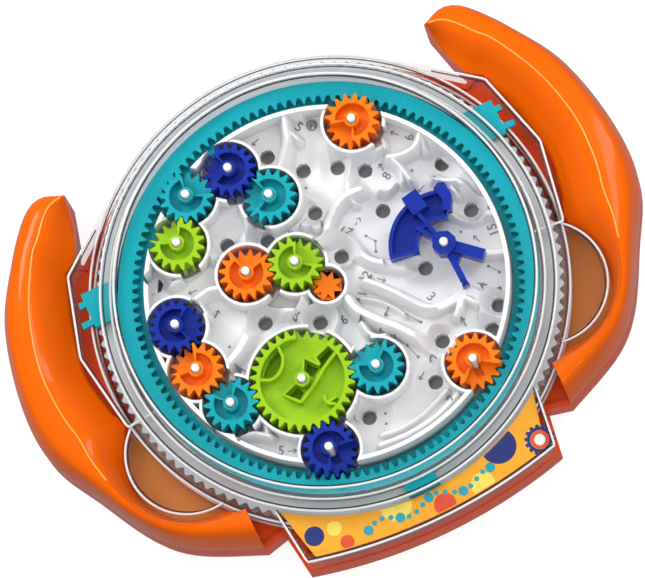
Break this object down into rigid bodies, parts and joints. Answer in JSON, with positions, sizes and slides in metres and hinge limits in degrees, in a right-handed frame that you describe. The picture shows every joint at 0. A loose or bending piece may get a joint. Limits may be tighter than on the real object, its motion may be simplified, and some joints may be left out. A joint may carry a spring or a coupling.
{
  "type": "3d maze ball puzzle",
  "caption": "Two-handled toy: a gear maze disc turns inside a clear domed case by thumb scoops, carrying a steel ball through its maze.",
  "frame": {"origin": "on the disc's turning axis at the flat back face", "axes": "+Z out of the clear front along the disc's axis, +X from handle to handle, +Y towards the handle tips and away from the label"},
  "size_m": [0.2652, 0.2029, 0.044],
  "materials": {
    "rear_plastic": "satin moulded",
    "orange_plastic": "glossy moulded",
    "clear_plastic": "clear, polished",
    "teal_plastic": "glossy moulded",
    "blue_plastic": "glossy moulded",
    "lime_plastic": "glossy moulded",
    "white_plastic": "satin moulded",
    "grey_plastic": "matte moulded",
    "frosted_plastic": "frosted",
    "printed_card": "printed, laminated",
    "bright_steel": "polished",
    "screw_steel": "zinc plated"
  },
  "bodies": {
    "housing": {"base_shell": "rear_plastic", "front_cover": "clear_plastic", "left_grip": "orange_plastic", "right_grip": "orange_plastic", "ring_gear": "teal_plastic", "sun_pinion": "orange_plastic", "center_axle": "grey_plastic", "label_card": "printed_card", "case_screw_1": "screw_steel", "case_screw_2": "screw_steel", "case_screw_3": "screw_steel", "case_screw_4": "screw_steel", "case_screw_5": "screw_steel", "case_screw_6": "screw_steel"},
    "maze_disc": {"maze_tray": "white_plastic", "drive_rim": "frosted_plastic", "ball_tray": "grey_plastic", "tray_screw_1": "screw_steel", "tray_screw_2": "screw_steel", "tray_screw_3": "screw_steel"},
    "gear_teal_top": {"gear_teal_top": "teal_plastic"},
    "gear_blue_top": {"gear_blue_top": "blue_plastic"},
    "gear_teal_inner": {"gear_teal_inner": "teal_plastic"},
    "gear_lime_left": {"gear_lime_left": "lime_plastic"},
    "gear_lime_center": {"gear_lime_center": "lime_plastic"},
    "gear_orange_center": {"gear_orange_center": "orange_plastic"},
    "gear_blue_bottom": {"gear_blue_bottom": "blue_plastic"},
    "gear_lime_large": {"gear_lime_large": "lime_plastic"},
    "gear_teal_left": {"gear_teal_left": "teal_plastic"},
    "gear_teal_right": {"gear_teal_right": "teal_plastic"},
    "gear_orange_left": {"gear_orange_left": "orange_plastic"},
    "gear_blue_left": {"gear_blue_left": "blue_plastic"},
    "gear_orange_right": {"gear_orange_right": "orange_plastic"},
    "gear_orange_top": {"gear_orange_top": "orange_plastic"},
    "rocker": {"rocker": "blue_plastic"},
    "steel_ball": {"steel_ball": "bright_steel"}
  },
  "joints": [
    {"name": "disc_spin", "type": "hinge", "parent": "housing", "child": "maze_disc", "pos_m": [0, 0, 0], "axis": [0, 0, 1], "continuous": true},
    {"name": "teal_top_spin", "type": "hinge", "parent": "maze_disc", "child": "gear_teal_top", "pos_m": [-0.03577, 0.05724, 0.03], "axis": [0, 0, 1], "continuous": true},
    {"name": "blue_top_spin", "type": "hinge", "parent": "maze_disc", "child": "gear_blue_top", "pos_m": [-0.01592, 0.05968, 0.03], "axis": [0, 0, 1], "continuous": true},
    {"name": "teal_inner_spin", "type": "hinge", "parent": "maze_disc", "child": "gear_teal_inner", "pos_m": [-0.00562, 0.04254, 0.03], "axis": [0, 0, 1], "continuous": true},
    {"name": "lime_left_spin", "type": "hinge", "parent": "maze_disc", "child": "gear_lime_left", "pos_m": [-0.04724, 0.04086, 0.03], "axis": [0, 0, 1], "continuous": true},
    {"name": "lime_center_spin", "type": "hinge", "parent": "maze_disc", "child": "gear_lime_center", "pos_m": [-0.00773, 0.01286, 0.03], "axis": [0, 0, 1], "continuous": true},
    {"name": "orange_center_spin", "type": "hinge", "parent": "maze_disc", "child": "gear_orange_center", "pos_m": [-0.02713, 0.0177, 0.03], "axis": [0, 0, 1], "continuous": true},
    {"name": "blue_bottom_spin", "type": "hinge", "parent": "maze_disc", "child": "gear_blue_bottom", "pos_m": [-0.02692, -0.0619, 0.03], "axis": [0, 0, 1], "continuous": true},
    {"name": "lime_large_spin", "type": "hinge", "parent": "maze_disc", "child": "gear_lime_large", "pos_m": [-0.02508, -0.03196, 0.03], "axis": [0, 0, 1], "continuous": true},
    {"name": "teal_left_spin", "type": "hinge", "parent": "maze_disc", "child": "gear_teal_left", "pos_m": [-0.05486, -0.0283, 0.03], "axis": [0, 0, 1], "continuous": true},
    {"name": "teal_right_spin", "type": "hinge", "parent": "maze_disc", "child": "gear_teal_right", "pos_m": [0.00389, -0.03972, 0.03], "axis": [0, 0, 1], "continuous": true},
    {"name": "orange_left_spin", "type": "hinge", "parent": "maze_disc", "child": "gear_orange_left", "pos_m": [-0.0617, -0.00951, 0.03], "axis": [0, 0, 1], "continuous": true},
    {"name": "blue_left_spin", "type": "hinge", "parent": "maze_disc", "child": "gear_blue_left", "pos_m": [-0.0617, 0.01049, 0.03], "axis": [0, 0, 1], "continuous": true},
    {"name": "orange_right_spin", "type": "hinge", "parent": "maze_disc", "child": "gear_orange_right", "pos_m": [0.03968, -0.05461, 0.03], "axis": [0, 0, 1], "continuous": true},
    {"name": "orange_top_spin", "type": "hinge", "parent": "maze_disc", "child": "gear_orange_top", "pos_m": [0.03735, 0.05622, 0.03], "axis": [0, 0, 1], "continuous": true},
    {"name": "rocker_swing", "type": "hinge", "parent": "maze_disc", "child": "rocker", "pos_m": [0.0493, -0.0063, 0.03], "axis": [0, 0, 1], "range_deg": [-20, 20]},
    {"name": "ball_roll", "type": "slide", "parent": "maze_disc", "child": "steel_ball", "axis": [-0.5, -0.866, 0], "range_m": [0, 0.008]}
  ],
  "couplings": [
    {"joint": "teal_top_spin", "follows": "disc_spin", "ratio": -7.75},
    {"joint": "blue_top_spin", "follows": "disc_spin", "ratio": 7.75},
    {"joint": "teal_inner_spin", "follows": "disc_spin", "ratio": -7.75},
    {"joint": "lime_left_spin", "follows": "disc_spin", "ratio": 7.75},
    {"joint": "lime_center_spin", "follows": "disc_spin", "ratio": 0.5},
    {"joint": "orange_center_spin", "follows": "disc_spin", "ratio": -0.5},
    {"joint": "blue_bottom_spin", "follows": "disc_spin", "ratio": -7.75},
    {"joint": "lime_large_spin", "follows": "disc_spin", "ratio": 3.875},
    {"joint": "teal_left_spin", "follows": "disc_spin", "ratio": -7.75},
    {"joint": "teal_right_spin", "follows": "disc_spin", "ratio": -7.75},
    {"joint": "orange_left_spin", "follows": "disc_spin", "ratio": 7.75},
    {"joint": "blue_left_spin", "follows": "disc_spin", "ratio": -7.75},
    {"joint": "orange_right_spin", "follows": "disc_spin", "ratio": -7.75},
    {"joint": "orange_top_spin", "follows": "disc_spin", "ratio": -7.75}
  ]
}
